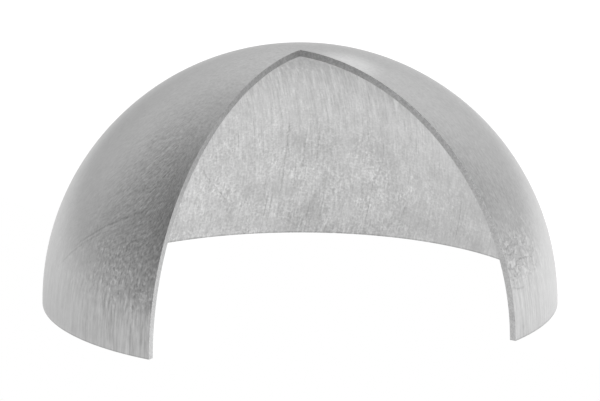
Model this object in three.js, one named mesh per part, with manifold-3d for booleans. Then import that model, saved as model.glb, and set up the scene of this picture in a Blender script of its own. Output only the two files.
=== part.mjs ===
// Hemispherical butt-weld pipe cap, shown as a quarter section: one thin drawn steel shell, half a sphere, with a
// 90 degree sector cut out so that the wall and the inside can be seen.
//
// Millimetres, +Z up. The origin is the centre of the sphere, which is also the centre of the rim circle. The rim
// stands on the plane z = 0 and the dome rises to +Z. The missing sector is the quadrant x > 0, y < 0, so its two
// flat section faces lie in the planes x = 0 and y = 0.

import * as THREE from "three";
import { mergeVertices } from "three/addons/utils/BufferGeometryUtils.js";
import Module from "manifold-3d";

// Driving dimensions: a 154 x 2 mm pipe, which has a 150 mm bore.
const PIPE_OUTSIDE_DIAMETER = 154;
const WALL = 2;

const OUTER_RADIUS = PIPE_OUTSIDE_DIAMETER / 2;
const INNER_RADIUS = OUTER_RADIUS - WALL;

// Facets. The steps round the axis divide a quarter turn evenly, so the section planes pass through whole rows of
// vertices and both section faces keep the full outline of the wall.
const STEPS_ROUND_AXIS = 96;
const STEPS_RIM_TO_POLE = 24;

const STEEL = { color: 0xb9bab9, roughness: 0.42, metalness: 1 };

const wasm = await Module();
wasm.setup();

// A closed three.js geometry as a manifold-3d solid.
function solidFrom(geometry) {
  const bare = geometry.clone();
  bare.deleteAttribute("normal");
  bare.deleteAttribute("uv");
  const merged = mergeVertices(bare);
  return new wasm.Manifold(
    new wasm.Mesh({
      numProp: 3,
      vertProperties: merged.attributes.position.array,
      triVerts: new Uint32Array(merged.index.array),
    }),
  );
}

// A manifold-3d solid as a three.js geometry.
function geometryFrom(solid) {
  const mesh = solid.getMesh();
  const geometry = new THREE.BufferGeometry();
  geometry.setAttribute("position", new THREE.BufferAttribute(mesh.vertProperties, 3));
  geometry.setIndex(new THREE.BufferAttribute(mesh.triVerts, 1));
  geometry.computeVertexNormals();
  return geometry;
}

// Points of a quarter circle about the origin, from the rim (elevation 0) up to the pole (elevation 90 degrees).
function quarterArc(radius) {
  return Array.from({ length: STEPS_RIM_TO_POLE + 1 }, (_, i) => {
    const elevation = ((Math.PI / 2) * i) / STEPS_RIM_TO_POLE;
    const onAxis = i === STEPS_RIM_TO_POLE;
    return new THREE.Vector2(onAxis ? 0 : radius * Math.cos(elevation), radius * Math.sin(elevation));
  });
}

// The whole cap before it is sectioned: inner arc, flat square-cut rim and outer arc, turned about the axis.
function wholeCap() {
  const profile = [...quarterArc(INNER_RADIUS).reverse(), ...quarterArc(OUTER_RADIUS)];
  const lathe = new THREE.LatheGeometry(profile, STEPS_ROUND_AXIS);
  return solidFrom(lathe.rotateX(Math.PI / 2));
}

// The quadrant x > 0, y < 0 as a block that reaches well past the cap.
function missingQuadrant() {
  const reach = PIPE_OUTSIDE_DIAMETER;
  const block = new THREE.BoxGeometry(reach, reach, 2 * reach);
  return solidFrom(block.translate(reach / 2, -reach / 2, 0));
}

function capShell() {
  const sectioned = wholeCap().subtract(missingQuadrant());
  const mesh = new THREE.Mesh(geometryFrom(sectioned), new THREE.MeshStandardMaterial(STEEL));
  mesh.name = "cap_shell";
  return mesh;
}

const pipeCap = new THREE.Group();
pipeCap.add(capShell());

export default pipeCap;
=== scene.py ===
# Looks for a hemispherical butt-weld pipe cap in drawn stainless steel, with one quarter cut away.
#
# Metres, +Z up. The rim circle is centred on the origin and stands on the floor. The cap is one drawn
# shell, so there is one piece: a fine closed mesh with two skins, the cut faces between them and broken
# edges. It stands for the CAD shell and takes its radii from it. The missing quarter is x > 0, y < 0, as in
# the CAD shell. Sizes of marks on the steel are in millimetres. Their places are in degrees above the rim,
# and round from a cut.
import math
from collections import namedtuple

import bmesh
import bpy
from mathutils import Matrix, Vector, noise


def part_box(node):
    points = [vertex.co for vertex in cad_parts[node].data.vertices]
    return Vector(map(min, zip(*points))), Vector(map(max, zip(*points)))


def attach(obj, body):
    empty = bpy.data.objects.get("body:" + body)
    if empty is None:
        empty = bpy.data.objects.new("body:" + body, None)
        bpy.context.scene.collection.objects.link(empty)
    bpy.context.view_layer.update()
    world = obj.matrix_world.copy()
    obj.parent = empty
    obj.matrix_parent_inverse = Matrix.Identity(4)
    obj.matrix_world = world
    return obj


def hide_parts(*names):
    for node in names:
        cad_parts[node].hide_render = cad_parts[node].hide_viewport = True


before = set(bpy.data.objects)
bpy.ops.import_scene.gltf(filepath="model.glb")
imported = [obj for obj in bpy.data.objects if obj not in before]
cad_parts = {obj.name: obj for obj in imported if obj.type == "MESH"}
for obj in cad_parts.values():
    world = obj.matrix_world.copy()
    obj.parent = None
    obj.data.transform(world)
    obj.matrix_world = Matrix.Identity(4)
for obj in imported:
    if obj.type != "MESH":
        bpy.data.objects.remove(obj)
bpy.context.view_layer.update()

MM = 0.001
RIGHT_ANGLE = math.pi / 2

# Sizes from the CAD shell.
OUTER_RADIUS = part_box("cap_shell")[1].z
RIM_POINTS = [v.co.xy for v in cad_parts["cap_shell"].data.vertices if v.co.z < 0.01 * MM]
INNER_RADIUS = min(point.length for point in RIM_POINTS)
DEGREE = math.radians(OUTER_RADIUS / MM)  # millimetres for each degree along the outside

# Mesh.
ROWS = 165  # rows of triangles from the pole to the rim
QUARTERS = 3  # quarter turns of metal, from +X round through +Y and -X to -Y
LAYERS = 5  # strips across the wall on the cut faces
EDGE_BREAK = 0.05 * MM
SHARP = 60  # an edge that turns by more degrees than this is broken
OUTSIDE, INSIDE, CUT = range(3)  # material slots

# Relief of the drawn skins, in millimetres and degrees.
WAVE_HEIGHT, WAVE_SIZE = 0.05, 26.0  # slow unevenness from the press
PEEL_HEIGHT, PEEL_SIZE = 0.010, 2.4  # orange peel where the sheet was stretched
PEEL_MIDDLE, PEEL_RISE = 22, 45  # where it is strongest, and its reach up and down from there
LEAST_PEEL = 0.15  # its share beyond that reach
CREASE_DEPTH, CREASE_WIDTH = 0.030, 1.5  # a draw line on the outside that falls away from the -Y cut
CREASE_TOP = 34.3  # its height at the cut
CREASE_SLOPE, CREASE_BEND = 0.24, 0.0085  # its fall for each degree round from the cut, and each squared
CREASE_END, CREASE_FADE = 40.0, 15  # where it ends, and over how many degrees it fades out
CREASE_LINE_WIDTH = 0.6  # half the width of the fine lines along it, in degrees
CREASE_LINE_WANDER, CREASE_LINE_FADE = 0.8, 8  # how far they stray up and down, and their fade at each end
FOLD_HEIGHT, FOLD_SIZE = 0.02, 2.6  # small folds low on the outside, beside the +X cut
FOLDS_TURN = 15.0  # how far they reach from that cut
FOLDS_MIDDLE, FOLDS_RISE = 18.0, 8.0  # their middle above the rim, and their reach up and down from it

# Steel before its marks.
OUTSIDE_TONE, OUTSIDE_ROUGHNESS = 0.62, 0.38
INSIDE_TONE, INSIDE_ROUGHNESS = 0.623, 0.42
CUT_TONE, CUT_ROUGHNESS = 0.60, 0.5

# How ragged the ends of the press's marks and of the inside's grain are, in degrees.
BAND_FRINGE, GRAIN_FRINGE = 12, 6

# Grain on the inside: straight across the cap as seen from above, as on the flat sheet, and swept sideways
# low down.
GRAIN_TURN = 25.2  # degrees from +Y towards -X
GRAIN_SWEEP = 0.27  # its slope at the rim
GRAIN_SWEPT_UNDER = 45.0  # the height in millimetres where that slope has died away
GRAIN_TOP = 52.5  # degrees above the rim, where it ends under the smooth pole

# Marks listed one by one: degrees round from the +X cut, and degrees above the rim.
SCUFF_WIDTH, SCRATCH_WIDTH = 0.55, 0.4  # half the full width, in millimetres
BEND_SIZE = 1.25  # how closely scratches and small folds wander, in millimetres
SCUFFS = (  # handling marks low on the outside
    ((0.3, 20.2), (2.4, 20.6), (4.9, 21.5)),
    ((0.3, 19.6), (2.4, 19.0), (4.6, 19.3)),
    ((4.0, 16.7), (5.6, 17.3), (8.3, 17.0), (12.5, 16.2)),
    ((0.3, 16.3), (1.9, 16.0), (4.0, 16.4)),
    ((1.2, 14.2), (3.0, 14.2), (5.1, 15.0)),
    ((0.5, 11.9), (2.6, 11.2), (4.9, 11.0)),
)
SCRATCHES = (  # on the inside
    ((127.5, 30.0), (127.9, 26.0), (128.1, 22.9), (128.5, 18.9), (128.9, 14.8), (129.3, 10.8)),
    ((149.5, 17.6), (147.3, 14.7), (145.0, 11.9), (142.8, 9.0)),
    ((119.5, 28.7), (120.0, 23.8), (120.6, 18.9)),
    ((123.2, 27.1), (123.6, 22.0), (124.1, 17.0)),
)
SPOT_CORE = 0.2  # the share of its radius over which a spot is at its full strength
# The first outside spot is a painted highlight: the reflection of a soft light near the pole beside the +X
# cut.
OUTSIDE_HIGHLIGHT_AND_SPOTS = (  # the same two angles, radius in millimetres, change of tone
    (1, 77, 13, 0.20),
    (265, 15, 14, 0.05),
    (265, 55, 14, 0.04),
)
INSIDE_SPOTS = (
    (86, 27, 15, 0.065),
    (123, 24, 14, -0.05),
    (123, 2, 12, -0.08),
    (74, 1, 10, 0.05),
    (150, 8, 11, 0.05),
    (108, 24, 8, -0.05),
)

# Camera and lights. Azimuths are from the camera, positive to its right; angles are in degrees.
CAMERA_AZIMUTH, CAMERA_ELEVATION = 34.8, 15.27
CAMERA_DISTANCE = 2.192
TARGET_HEIGHT = 0.03075
LENS = 441.4
ROOM_GLOW = 0.63
SOFT_LIGHTS = {  # azimuth, elevation, spread, strength
    "back": (162, 37, 50, 0.48),
    "right": (103, 0, 25, 0.73),
    "left_back": (-135, 28, 25, 0.36),
    "dark_camera_side": (-10, 36, 57, -0.63),
    "dark_left": (-60, 15, 40, -0.21),
    "dark_right": (60, 20, 50, -0.23),
    "dark_high_left": (-100, 50, 50, -0.14),
    "dark_back": (165, 5, 30, -0.08),
}
FLOOR_HALF_WIDTH = 12.0
FLOOR_DROP = 0.05 * MM  # just under the rim, so that the two don't share a plane
FLOOR_GLOW, FLOOR_RIGHT, FLOOR_BACK = 0.98, 0.15, 0.15  # open floor, and more to the right and the back
# Painted shade: the table glows less under the cap, and the slope makes it paler to the left there, as
# painted light through the open quarter.
FLOOR_UNDER_CAP, FLOOR_UNDER_SLOPE = 0.94, -2.4  # under the cap, and its change for each metre to the right
FLOOR_BLEND = 5 * MM  # half the width of the change between them, at the inside of the wall


# -------------------------------------------------------------------------------- node helpers


class Nodes:
    """Short calls for building one node tree. A value is a number, a vector or another node's output."""

    def __init__(self, tree):
        self.tree = tree
        tree.nodes.clear()

    def add(self, kind, **settings):
        node = self.tree.nodes.new(kind)
        for name, value in settings.items():
            setattr(node, name, value)
        return node

    def feed(self, socket, value):
        if isinstance(value, bpy.types.NodeSocket):
            self.tree.links.new(value, socket)
        else:
            socket.default_value = value

    def math(self, operation, *values):
        node = self.add("ShaderNodeMath", operation=operation)
        for socket, value in zip(node.inputs, values):
            self.feed(socket, value)
        return node.outputs[0]

    def sum(self, *values):
        total = values[0]
        for value in values[1:]:
            total = self.math("ADD", total, value)
        return total

    def product(self, *values):
        total = values[0]
        for value in values[1:]:
            total = self.math("MULTIPLY", total, value)
        return total

    def vector(self, operation, *values):
        node = self.add("ShaderNodeVectorMath", operation=operation)
        for socket, value in zip(node.inputs, values):
            self.feed(socket, value)
        return node.outputs["Value" if operation in ("DOT_PRODUCT", "LENGTH") else "Vector"]

    def scaled(self, vector, factor):
        node = self.add("ShaderNodeVectorMath", operation="SCALE")
        self.feed(node.inputs[0], vector)
        self.feed(node.inputs["Scale"], factor)
        return node.outputs[0]

    def split(self, vector):
        node = self.add("ShaderNodeSeparateXYZ")
        self.feed(node.inputs[0], vector)
        return node.outputs[:]

    def join(self, x, y, z):
        node = self.add("ShaderNodeCombineXYZ")
        for socket, value in zip(node.inputs, (x, y, z)):
            self.feed(socket, value)
        return node.outputs[0]

    def ramp(self, value, start, end, first=0.0, last=1.0):
        """Smooth change from first to last as value goes from start to end."""
        node = self.add("ShaderNodeMapRange", interpolation_type="SMOOTHSTEP")
        for socket, given in zip(node.inputs, (value, start, end, first, last)):
            self.feed(socket, given)
        return node.outputs[0]

    def noise(self, vector, size, detail=2.0, roughness=0.5, offset=0.0):
        """Noise about zero, mostly within +-0.3, with features about size across. Offset picks a field."""
        node = self.add("ShaderNodeTexNoise")
        self.feed(node.inputs["Vector"], self.vector("ADD", vector, (offset, offset, offset)))
        self.feed(node.inputs["Scale"], 1 / size)
        self.feed(node.inputs["Detail"], detail)
        self.feed(node.inputs["Roughness"], roughness)
        return self.math("SUBTRACT", node.outputs[0], 0.5)


# -------------------------------------------------------------------------------- shell mesh


def peel_share(elevation):
    """How much orange peel there is at an elevation in degrees."""
    return max(LEAST_PEEL, 1.0 - abs(elevation - PEEL_MIDDLE) / PEEL_RISE)


def crease(direction, elevation):
    """The draw line, as a shallow rounded step whose lower side stands proud."""
    from_cut = math.degrees(math.atan2(-direction.x, -direction.y))
    if not 0 <= from_cut < CREASE_END:
        return 0.0
    line = CREASE_TOP - CREASE_SLOPE * from_cut - CREASE_BEND * from_cut * from_cut
    offset = (elevation - line) * DEGREE / CREASE_WIDTH
    fade = min(1.0, (CREASE_END - from_cut) / CREASE_FADE)
    return -CREASE_DEPTH * fade * offset * math.exp(0.5 - offset * offset)


def folds(direction, elevation):
    """The cluster of small folds beside the +X cut, at full height over its middle half."""
    from_cut = math.degrees(math.atan2(direction.y, direction.x))
    from_middle = abs(elevation - FOLDS_MIDDLE)
    if not 0 <= from_cut < FOLDS_TURN or from_middle > FOLDS_RISE:
        return 0.0
    fade = min(1.0, 2 - 2 * from_cut / FOLDS_TURN, 2 - 2 * from_middle / FOLDS_RISE)
    return FOLD_HEIGHT * fade * noise.noise(direction * (OUTER_RADIUS / MM / FOLD_SIZE))


def relief(direction, is_outside):
    """Height of a skin above its sphere, in metres. The two skins take it from different places."""
    elevation = math.degrees(math.asin(min(1.0, direction.z)))
    point = direction * (OUTER_RADIUS / MM) + (Vector() if is_outside else Vector((200, 0, 0)))
    height = WAVE_HEIGHT * noise.noise(point / WAVE_SIZE)
    height += PEEL_HEIGHT * peel_share(elevation) * noise.noise(point / PEEL_SIZE)
    if is_outside:
        height += crease(direction, elevation) + folds(direction, elevation)
    return height * MM


def add_skin(shell, radius, is_outside):
    """Adds a dome of points and returns its rows, pole first. Each row has one more step in a quarter."""
    rows = []
    for row in range(ROWS + 1):
        polar = RIGHT_ANGLE * row / ROWS
        points = []
        for step in range(QUARTERS * row + 1):
            azimuth = RIGHT_ANGLE * step / max(row, 1)
            across = math.sin(polar)
            direction = Vector((across * math.cos(azimuth), across * math.sin(azimuth), math.cos(polar)))
            points.append(shell.verts.new(direction * (radius + relief(direction, is_outside))))
        rows.append(points)
    return rows


def add_skin_faces(shell, rows, material):
    for row in range(ROWS):
        upper, lower = rows[row], rows[row + 1]
        for quarter in range(QUARTERS):
            for step in range(row + 1):
                above = quarter * row + step
                below = above + quarter
                triangles = [(upper[above], lower[below], lower[below + 1])]
                if step < row:
                    triangles.append((upper[above], lower[below + 1], upper[above + 1]))
                for corners in triangles:
                    face = shell.faces.new(corners)
                    face.material_index = material


def outline(rows):
    """The edge of a skin: down one cut, round the rim and up the other cut."""
    down = [row[0] for row in rows]
    up = [row[-1] for row in rows[-2:0:-1]]
    return down + rows[-1][1:] + up


def add_cut_faces(shell, outer_edge, inner_edge):
    """Closes the wall between the skins with strips of quads."""
    rings = [outer_edge]
    for layer in range(1, LAYERS):
        share = layer / LAYERS
        rings.append([shell.verts.new(a.co.lerp(b.co, share)) for a, b in zip(outer_edge, inner_edge)])
    rings.append(inner_edge)
    for near, far in zip(rings, rings[1:]):
        for i in range(len(near)):
            j = (i + 1) % len(near)
            face = shell.faces.new((near[i], near[j], far[j], far[i]))
            face.material_index = CUT


def break_edges(shell):
    """Rounds each sharp edge a little. The skins are shaded smooth, but not across their borders."""
    sharp = [edge for edge in shell.edges if edge.calc_face_angle() > math.radians(SHARP)]
    bmesh.ops.bevel(
        shell,
        geom=sharp,
        offset=EDGE_BREAK,
        segments=2,
        profile=0.5,
        affect="EDGES",
        material=CUT,
    )
    for face in shell.faces:
        face.smooth = face.material_index != CUT
    for edge in shell.edges:
        edge.smooth = len({face.material_index for face in edge.link_faces}) == 1


def build_cap():
    shell = bmesh.new()
    outer = add_skin(shell, OUTER_RADIUS, True)
    inner = add_skin(shell, INNER_RADIUS, False)
    add_skin_faces(shell, outer, OUTSIDE)
    add_skin_faces(shell, inner, INSIDE)
    add_cut_faces(shell, outline(outer), outline(inner))
    bmesh.ops.recalc_face_normals(shell, faces=shell.faces)
    break_edges(shell)
    mesh = bpy.data.meshes.new("pressed_cap")
    shell.to_mesh(mesh)
    shell.free()
    mesh.materials.append(steel("drawn_outside", OUTSIDE_TONE, OUTSIDE_ROUGHNESS, outside_marks))
    mesh.materials.append(steel("drawn_inside", INSIDE_TONE, INSIDE_ROUGHNESS, inside_marks))
    mesh.materials.append(steel("cut_face", CUT_TONE, CUT_ROUGHNESS, cut_marks))
    cap = bpy.data.objects.new("pressed_cap", mesh)
    bpy.context.scene.collection.objects.link(cap)
    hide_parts("cap_shell")
    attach(cap, "root")
    return cap


# -------------------------------------------------------------------------------- materials


class Place:
    """Where a shaded point lies on the cap. Lengths are in millimetres and angles in degrees. around is the
    point moved level to the outer radius, to_cut its level distance from the missing quarter, and bent the
    point with a small wander."""

    def __init__(self, n):
        self.point = n.scaled(n.add("ShaderNodeTexCoord").outputs["Object"], 1 / MM)
        self.x, self.y, self.above_rim = n.split(self.point)
        level = n.join(self.x, self.y, 0)
        self.around = n.scaled(n.vector("NORMALIZE", level), OUTER_RADIUS / MM)
        self.elevation = n.math("DEGREES", n.math("ARCTAN2", self.above_rim, n.vector("LENGTH", level)))
        past_x = n.math("MAXIMUM", n.math("MULTIPLY", self.x, -1.0), 0.0)
        past_y = n.math("MAXIMUM", self.y, 0.0)
        self.to_cut = n.vector("LENGTH", n.join(past_x, past_y, 0))
        wander = n.add("ShaderNodeTexNoise")
        n.feed(wander.inputs["Vector"], self.point)
        n.feed(wander.inputs["Scale"], 1 / BEND_SIZE)
        bend = n.vector("SUBTRACT", wander.outputs["Color"], (0.5, 0.5, 0.5))
        self.bent = n.vector("ADD", self.point, bend)

    def drawn(self, n, stretch):
        """Coordinates for marks that run from rim to pole, each stretch times as long as it is wide."""
        x, y, _ = n.split(self.around)
        return n.join(x, y, n.math("MULTIPLY", self.elevation, DEGREE / stretch))

    def leaning(self, n, stretch, lean):
        """As drawn, but the marks also turn lean degrees round the cap for each degree that they climb."""
        climbed = n.product(n.math("RADIANS", self.elevation), lean)
        turn = n.math("SUBTRACT", n.math("ARCTAN2", self.y, self.x), climbed)
        x = n.product(n.math("COSINE", turn), OUTER_RADIUS / MM)
        y = n.product(n.math("SINE", turn), OUTER_RADIUS / MM)
        return n.join(x, y, n.math("MULTIPLY", self.elevation, DEGREE / stretch))

    def brushed(self, n, stretch):
        """Coordinates for marks along the sheet's own grain, each stretch times as long as it is wide."""
        turn = math.radians(GRAIN_TURN)
        radius = INNER_RADIUS / MM
        sideways = n.vector("DOT_PRODUCT", self.point, (math.cos(turn), math.sin(turn), 0))
        onward = n.vector("DOT_PRODUCT", self.point, (-math.sin(turn), math.cos(turn), 0))
        share = n.math("DIVIDE", sideways, n.vector("LENGTH", self.point))
        across = n.product(n.math("ARCSINE", share), radius)
        along = n.product(n.math("ARCTAN2", self.above_rim, onward), radius / stretch)
        swept = n.math("MINIMUM", self.above_rim, GRAIN_SWEPT_UNDER)
        easing = n.math("MULTIPLY_ADD", swept, -0.5 / GRAIN_SWEPT_UNDER, 1.0)
        lean = n.product(swept, easing, GRAIN_SWEEP)
        return n.join(n.math("SUBTRACT", across, lean), along, 0)


# A pattern, and what it adds where it is 1: to the tone, to the height in millimetres and to the roughness.
Mark = namedtuple("Mark", ("pattern", "tone", "height", "roughness"), defaults=(0, 0, 0))


def steel(name, base_tone, base_roughness, marks):
    """A stainless steel material, laid over with the marks that marks(n, place) lists."""
    material = bpy.data.materials.new(name)
    material.use_nodes = True
    n = Nodes(material.node_tree)
    look = [base_tone, 0.0, base_roughness]
    for pattern, *changes in marks(n, Place(n)):
        for i, change in enumerate(changes):
            if change:
                look[i] = n.math("MULTIPLY_ADD", pattern, change, look[i])
    tone, height, roughness = look
    surface = n.add("ShaderNodeBsdfPrincipled")
    n.feed(surface.inputs["Metallic"], 1.0)
    n.feed(surface.inputs["Base Color"], tone)
    n.feed(surface.inputs["Roughness"], roughness)
    bump = n.add("ShaderNodeBump")
    n.feed(bump.inputs["Distance"], MM)
    n.feed(bump.inputs["Height"], height)
    n.feed(surface.inputs["Normal"], bump.outputs[0])
    n.feed(n.add("ShaderNodeOutputMaterial").inputs[0], surface.outputs[0])
    return material


def on_cap(from_cut, elevation):
    """Unit vector at a number of degrees round from the +X cut and above the rim."""
    turn, rise = math.radians(from_cut), math.radians(elevation)
    return Vector((math.cos(rise) * math.cos(turn), math.cos(rise) * math.sin(turn), math.sin(rise)))


def scratch(n, place, start, end, width):
    """1 in the middle of a scratch, falling to 0 at width. Ends and width are in millimetres."""
    along = end - start
    from_start = n.vector("SUBTRACT", place.bent, start)
    share = n.math("MULTIPLY", n.vector("DOT_PRODUCT", from_start, along), 1 / along.length_squared)
    share = n.math("MINIMUM", n.math("MAXIMUM", share, 0.0), 1.0)
    near = n.vector("SUBTRACT", from_start, n.scaled(tuple(along), share))
    return n.ramp(n.vector("LENGTH", near), width, 0)


def scratches(n, place, radius, width, paths):
    """Scratches through rows of points, each in degrees from the +X cut and above the rim."""
    total = 0.0
    for path in paths:
        points = [on_cap(*angles) * (radius / MM) for angles in path]
        for start, end in zip(points, points[1:]):
            total = n.math("MAXIMUM", total, scratch(n, place, start, end, width))
    return total


def spots(n, place, radius, table):
    """Soft round changes of tone, paler or darker. The first outside one is a painted highlight."""
    total = 0.0
    for from_cut, elevation, reach, change in table:
        middle = on_cap(from_cut, elevation) * (radius / MM)
        away = n.vector("LENGTH", n.vector("SUBTRACT", place.point, middle))
        total = n.sum(total, n.ramp(away, reach, SPOT_CORE * reach, last=change))
    return total


def crease_line(n, place, drop, start, end):
    """1 on a fine line drop degrees under the draw line, from start to end in degrees from the -Y cut."""
    to_left, to_front = n.math("MULTIPLY", place.x, -1.0), n.math("MULTIPLY", place.y, -1.0)
    from_cut = n.math("DEGREES", n.math("ARCTAN2", to_left, to_front))
    fall = n.math("MULTIPLY_ADD", from_cut, CREASE_BEND, CREASE_SLOPE)
    line = n.math("SUBTRACT", CREASE_TOP - drop, n.product(fall, from_cut))
    wander = n.product(n.noise(place.point, size=6.0, offset=500), CREASE_LINE_WANDER)
    offset = n.math("SUBTRACT", n.sum(place.elevation, wander), line)
    starts = n.ramp(from_cut, start, start + CREASE_LINE_FADE)
    ends = n.ramp(from_cut, end, end - CREASE_LINE_FADE)
    return n.product(n.ramp(n.math("ABSOLUTE", offset), CREASE_LINE_WIDTH, 0), starts, ends)


def crease_marks(n, place):
    """The draw line's dark core and a fainter echo under it, as painted shade, and the light between them,
    as a painted highlight.
    """
    return [
        # Painted shade on the line and its echo, and a painted highlight between them.
        Mark(crease_line(n, place, drop=0.0, start=4, end=33), tone=-0.15, height=-0.03),
        Mark(crease_line(n, place, drop=1.0, start=18, end=40), tone=-0.08),
        Mark(crease_line(n, place, drop=0.5, start=8, end=36), tone=0.05),
    ]


def fold_marks(n, place):
    """Flakes, the lines between them and scuffs, among the small folds beside the +X cut."""
    beside_cut = n.product(n.ramp(place.y, 25, 12), n.ramp(place.x, 0, 10))
    band = n.product(n.ramp(place.elevation, 10, 15), n.ramp(place.elevation, 26, 21))
    region = n.product(beside_cut, band)
    fold = n.noise(place.bent, size=2.0, detail=1, offset=600)
    line = n.ramp(n.math("ABSOLUTE", fold), 0.07, 0.0)
    return [
        Mark(n.product(fold, region), tone=0.37, height=0.17),
        Mark(n.product(line, region), tone=-0.11, height=-0.02),
        Mark(scratches(n, place, OUTER_RADIUS, SCUFF_WIDTH, SCUFFS), tone=-0.09, height=-0.03),
    ]


def on_left(n, place):
    """1 on the side of the -Y cut, and less on the other side."""
    return n.ramp(place.x, 10, -5, first=0.35, last=1.0)


def near_cut(n, place):
    """How strong the outside's streaks and speckle are, by the distance from the missing quarter."""
    return n.ramp(place.to_cut, 38, 0, first=0.15, last=1.65)


def band_marks(n, place):
    """Marks of the press low on the outside: streaks at the rim, dapple above, and dashes where they meet.
    The bands have ragged ends, and are strongest near the cuts and on the left."""
    streaks = n.noise(place.drawn(n, stretch=14), size=1.0, detail=3, roughness=0.7)
    dapple = n.noise(place.drawn(n, stretch=1.5), size=0.8, offset=40)
    dashes = n.noise(place.drawn(n, stretch=4), size=0.9, offset=60)
    patches = n.noise(place.point, size=3.5, offset=160)
    fringe = n.noise(place.around, size=1.4, detail=1, offset=180)
    ragged = n.sum(place.elevation, n.product(fringe, BAND_FRINGE))
    left_side = on_left(n, place)
    beside = n.product(n.ramp(place.to_cut, 40, 8, first=0.15, last=1.0), left_side)
    low = n.product(n.ramp(ragged, 22, 8), n.sum(0.3, n.product(near_cut(n, place), 0.6)))
    low = n.product(low, n.sum(0.3, n.product(left_side, 0.7)))
    middle = n.product(n.ramp(ragged, 8, 15), n.ramp(place.elevation, 36, 20), beside)
    middle = n.product(middle, n.sum(1, n.product(patches, 2.5)))
    between = n.product(n.ramp(ragged, 2, 9), n.ramp(ragged, 19, 12), beside)
    return [
        Mark(patches, tone=0.08),
        Mark(n.product(streaks, low), tone=0.66, height=0.20),
        Mark(n.product(dapple, middle), tone=0.85, height=0.09),
        Mark(n.product(n.ramp(dapple, 0.08, 0.25), middle), tone=0.07),
        Mark(n.product(dashes, between), tone=0.58, height=0.09),
    ]


def speckle_marks(n, place):
    """The outside's fine speckle: combed from rim to pole, leaning on the left, and even near the pole."""
    even = n.noise(place.point, size=1.0, detail=3, roughness=0.6, offset=80)
    even = n.product(even, n.ramp(place.elevation, 40, 65, first=0.5, last=0.9))
    lean = n.product(n.ramp(place.x, 8, -8), n.ramp(place.elevation, 15, 30, last=0.6))
    leaning = place.leaning(n, stretch=1.9, lean=lean)
    combed = n.noise(leaning, size=0.85, detail=3, roughness=0.6, offset=100)
    combed = n.product(combed, n.ramp(place.elevation, 78, 50, last=1.05))
    speckle = n.sum(even, combed)
    beside = n.product(near_cut(n, place), on_left(n, place))
    high = n.product(n.ramp(place.elevation, 65, 38, first=0.35, last=1.0), beside)
    high = n.math("MAXIMUM", high, n.ramp(place.x, 10, -5, first=0.3, last=0.12))
    high = n.product(high, n.ramp(place.elevation, 12, 32))
    strength = n.math("MULTIPLY_ADD", high, 0.8, 0.2)
    return [
        Mark(n.product(speckle, strength), tone=0.60, height=0.10),
        Mark(speckle, roughness=0.10),
    ]


def outside_marks(n, place):
    base = [
        Mark(n.noise(place.point, size=9.0, offset=120), tone=0.06, roughness=0.10),
        # Painted shade: a thin darker line along the foot of the rim, standing in for the contact shadow
        # there.
        Mark(n.ramp(place.above_rim, 0.6, 0.2), tone=-0.12),
        # Paler and darker spots; the first is a painted highlight near the pole beside the +X cut.
        Mark(spots(n, place, OUTER_RADIUS, OUTSIDE_HIGHLIGHT_AND_SPOTS), tone=1),
    ]
    layers = (band_marks, speckle_marks, fold_marks, crease_marks)
    return sum((layer(n, place) for layer in layers), base)


def faded(n, place):
    """How strong the inside's clouds and patches are: half as strong high up."""
    return n.ramp(place.elevation, 15, 38, first=1.0, last=0.5)


def favour_pale(n, pattern):
    """The pattern with its pale side made stronger and its dark side weaker."""
    return n.product(pattern, n.math("MULTIPLY_ADD", pattern, 1.5, 1.0))


def cloud_marks(n, place):
    """The inside's soft clouds, its paler upper half, its paler and darker spots, and a dark line at the
    rim that is painted shade.
    """
    clouds = n.noise(place.brushed(n, stretch=2), size=6.0, detail=3, roughness=0.6, offset=320)
    return [
        Mark(n.product(clouds, faded(n, place)), tone=0.28),
        Mark(clouds, roughness=0.12),
        Mark(n.ramp(place.elevation, 20, 40), tone=0.025),
        # Painted shade: a thin darker line along the foot of the rim, standing in for the contact shadow
        # there.
        Mark(n.ramp(place.above_rim, 0.6, 0.25), tone=-0.15),
        Mark(spots(n, place, INNER_RADIUS, INSIDE_SPOTS), tone=1),
    ]


def fleck_marks(n, place):
    """The inside's flecks and rubs, in patches, strongest low on the left."""
    patches = n.noise(place.point, size=7.0, offset=340)
    specks = n.noise(place.point, size=0.75, detail=3, roughness=0.6, offset=240)
    rubs = n.noise(place.brushed(n, stretch=5), size=0.6, roughness=0.6, offset=280)
    lower = n.ramp(place.elevation, 50, 10, first=0.30, last=1.0)
    left = n.ramp(place.x, 20, -30, first=0.6, last=1.15)
    low = n.product(lower, left, n.sum(1, n.product(patches, 2)))
    return [
        Mark(n.product(patches, faded(n, place)), tone=0.16),
        Mark(n.product(specks, low), height=0.12),
        Mark(n.product(favour_pale(n, specks), low), tone=0.50),
        Mark(n.product(favour_pale(n, rubs), low), tone=0.35),
        Mark(specks, roughness=0.12),
    ]


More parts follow.
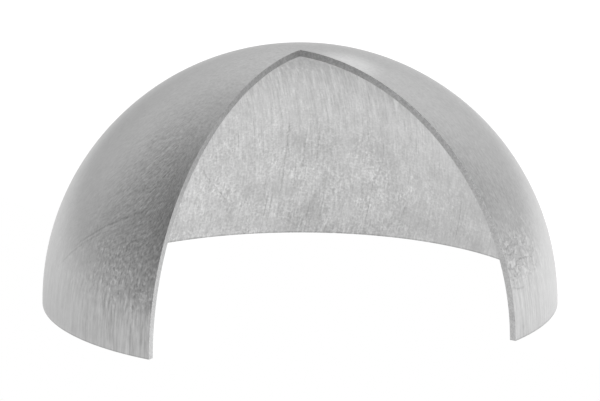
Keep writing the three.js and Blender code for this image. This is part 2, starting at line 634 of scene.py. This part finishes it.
def grain_marks(n, place):
    """The inside's brushed grain. It ends in a ragged ridge, and the pole above that has a soft mottle."""
    streaks = n.noise(place.brushed(n, stretch=12), size=0.65, detail=3, roughness=0.75, offset=200)
    long = n.noise(place.brushed(n, stretch=25), size=1.1, offset=395)
    mottle = n.noise(place.brushed(n, stretch=3.5), size=0.9, offset=390)
    fringe = n.noise(place.brushed(n, stretch=20), size=1.2, offset=380)
    ragged = n.sum(place.elevation, n.product(fringe, GRAIN_FRINGE))
    pole = n.ramp(ragged, GRAIN_TOP - 1, GRAIN_TOP + 1)
    under_pole = n.math("MULTIPLY_ADD", pole, -0.9, 1.0)
    high = n.product(n.ramp(place.elevation, 16, 44), under_pole)
    ridge_foot = n.ramp(ragged, GRAIN_TOP - 2, GRAIN_TOP - 0.5)
    ridge = n.product(ridge_foot, n.ramp(ragged, GRAIN_TOP + 3.5, GRAIN_TOP + 1))
    return [
        Mark(streaks, tone=0.10, height=0.018),
        Mark(n.product(streaks, high), tone=0.35, height=0.09),
        Mark(n.product(long, high), tone=0.32),
        Mark(n.product(ridge, n.ramp(mottle, 0.02, 0.22)), tone=0.12),
        Mark(n.product(pole, mottle), tone=0.3),
        Mark(pole, tone=-0.02),
    ]


def inside_marks(n, place):
    lines = n.noise(place.brushed(n, stretch=50), size=0.5, detail=1, offset=360)
    base = [
        Mark(n.ramp(lines, 0.16, 0.26), tone=-0.12, height=-0.02),
        Mark(scratches(n, place, INNER_RADIUS, SCRATCH_WIDTH, SCRATCHES), tone=-0.12, height=-0.03),
    ]
    return sum((layer(n, place) for layer in (cloud_marks, fleck_marks, grain_marks)), base)


def cut_marks(n, place):
    """Fine grain, paler at the foot as painted light. The +X cut is darker, as painted shade most of all
    near the pole, with a painted highlight along its outer edge and pale flecks.
    """
    grain = n.noise(place.point, size=0.6, detail=3, roughness=0.6, offset=400)
    is_x_cut = n.ramp(place.x, 0.1, 2)
    foot = n.ramp(place.elevation, 50, 20)
    outward = n.vector("NORMALIZE", place.point)
    facing_out = n.vector("DOT_PRODUCT", n.add("ShaderNodeNewGeometry").outputs["Normal"], outward)
    # Painted highlight: the outward facets of the +X cut's broken edge made paler, where they would mirror
    # the dark patch of the room on the camera's side.
    painted_edge_highlight = n.product(n.ramp(facing_out, 0.1, 0.35), is_x_cut, n.ramp(place.elevation, 15, 25))
    from_outside = n.math("SUBTRACT", OUTER_RADIUS / MM, n.vector("LENGTH", place.point))
    flecks = n.product(n.ramp(from_outside, 0.9, 0.1), n.ramp(grain, 0.02, 0.12), is_x_cut)
    flecks = n.product(flecks, n.ramp(place.elevation, 15, 35), n.ramp(place.elevation, 72, 55))
    return [
        Mark(grain, tone=0.5, height=0.04, roughness=0.1),
        Mark(n.noise(place.point, size=5.0, offset=440), tone=0.12),
        # Painted light and shade: the cut faces paler at the foot and darker towards the pole.
        Mark(foot, tone=0.16),
        # Painted shade: the +X cut darker, at its foot and most near the pole.
        Mark(n.product(foot, is_x_cut), tone=-0.08),
        Mark(n.product(is_x_cut, n.ramp(place.elevation, 60, 80, first=0.375, last=1.0)), tone=-0.08),
        # Painted highlight along the +X cut's outer edge, with more roughness there.
        Mark(painted_edge_highlight, tone=0.40, roughness=0.5),
        Mark(flecks, tone=0.14),
    ]


# -------------------------------------------------------------------------------- studio


def towards(azimuth, elevation):
    """Unit vector from the cap at an azimuth from the camera and an elevation, in degrees."""
    turn, rise = math.radians(CAMERA_AZIMUTH + azimuth), math.radians(elevation)
    return Vector((math.sin(turn) * math.cos(rise), -math.cos(turn) * math.cos(rise), math.sin(rise)))


def glow_or_white(n, strength):
    """The strength as the cap sees it; the camera itself sees plain white."""
    return n.math("MAXIMUM", n.add("ShaderNodeLightPath").outputs["Is Camera Ray"], strength)


def build_floor():
    """A white light table, brighter to the right and to the back. Under the cap it glows less, as painted
    shade, and paler to the left, as painted light through the open quarter.
    """
    half = FLOOR_HALF_WIDTH
    corners = [(-half, -half, 0), (half, -half, 0), (half, half, 0), (-half, half, 0)]
    mesh = bpy.data.meshes.new("floor")
    mesh.from_pydata(corners, [], [(0, 1, 2, 3)])
    floor = bpy.data.objects.new("floor", mesh)
    floor.location.z = -FLOOR_DROP
    bpy.context.scene.collection.objects.link(floor)
    material = bpy.data.materials.new("light_table")
    material.use_nodes = True
    mesh.materials.append(material)
    n = Nodes(material.node_tree)
    position = n.add("ShaderNodeNewGeometry").outputs["Position"]
    outward = n.vector("NORMALIZE", position)
    open_floor = n.sum(
        FLOOR_GLOW,
        n.product(n.vector("DOT_PRODUCT", outward, towards(90, 0)), FLOOR_RIGHT),
        n.product(n.vector("DOT_PRODUCT", outward, towards(180, 0)), FLOOR_BACK),
    )
    sideways = n.vector("DOT_PRODUCT", position, towards(90, 0))
    # Painted shade under the cap, paler to the left as painted light through the open quarter.
    under_cap = n.sum(FLOOR_UNDER_CAP, n.product(sideways, FLOOR_UNDER_SLOPE))
    inner, outer = INNER_RADIUS - FLOOR_BLEND, INNER_RADIUS + FLOOR_BLEND
    is_open = n.ramp(n.vector("LENGTH", position), inner, outer)
    strength = n.math("MULTIPLY_ADD", is_open, n.math("SUBTRACT", open_floor, under_cap), under_cap)
    glow = n.add("ShaderNodeEmission")
    n.feed(glow.inputs["Strength"], glow_or_white(n, strength))
    n.feed(n.add("ShaderNodeOutputMaterial").inputs[0], glow.outputs[0])


def build_lights():
    """A pale room with soft lights, as patches of brightness all round."""
    world = bpy.data.worlds.new("studio")
    world.use_nodes = True
    bpy.context.scene.world = world
    n = Nodes(world.node_tree)
    direction = n.add("ShaderNodeTexCoord").outputs["Generated"]
    total = ROOM_GLOW
    for azimuth, elevation, spread, strength in SOFT_LIGHTS.values():
        facing = n.vector("DOT_PRODUCT", direction, towards(azimuth, elevation))
        patch = n.ramp(facing, math.cos(math.radians(spread)), 1.0)
        total = n.math("MULTIPLY_ADD", patch, strength, total)
    background = n.add("ShaderNodeBackground")
    n.feed(background.inputs["Strength"], glow_or_white(n, total))
    n.feed(n.add("ShaderNodeOutputWorld").inputs[0], background.outputs[0])


def build_camera():
    data = bpy.data.cameras.new("camera")
    data.lens = LENS
    data.clip_end = 50
    camera = bpy.data.objects.new("camera", data)
    back = towards(0, CAMERA_ELEVATION)
    camera.location = Vector((0, 0, TARGET_HEIGHT)) + back * CAMERA_DISTANCE
    camera.rotation_euler = back.to_track_quat("Z", "Y").to_euler()
    bpy.context.scene.collection.objects.link(camera)
    bpy.context.scene.camera = camera
    bpy.context.scene.view_settings.view_transform = "Standard"


build_cap()
build_floor()
build_lights()
build_camera()
